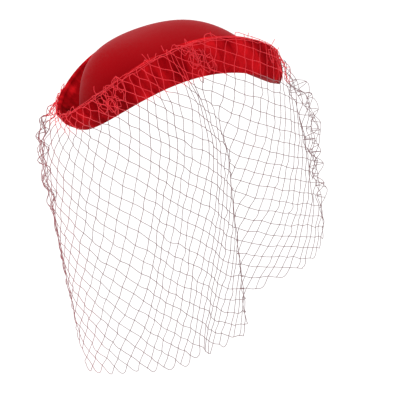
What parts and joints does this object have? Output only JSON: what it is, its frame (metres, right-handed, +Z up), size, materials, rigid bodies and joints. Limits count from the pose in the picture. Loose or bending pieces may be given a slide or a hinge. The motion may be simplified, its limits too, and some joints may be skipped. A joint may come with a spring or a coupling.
{
  "type": "pillbox hat with net veil",
  "caption": "Small saddle-shaped red felt hat with a turned-up velvet brim and a wide-mesh net veil over the front and both sides, open at the back.",
  "frame": {"origin": "middle of the head opening, level with its edge over the forehead, where the hat sits on the head", "axes": "+Z up as worn, the wearer faces -Y, +X towards the side that the hat is tipped up on; the hat itself leans 10 degrees down towards -X"},
  "size_m": [0.2828, 0.2025, 0.3023],
  "materials": {
    "crown_felt": "red wool felt with a soft satin sheen",
    "brim_velvet": "red crushed velvet, deep nap with brighter streaks",
    "veil_net": "fine red knotted diamond net"
  },
  "bodies": {
    "root": {"crown": "crown_felt", "brim": "brim_velvet", "veil": "veil_net"}
  },
  "joints": []
}
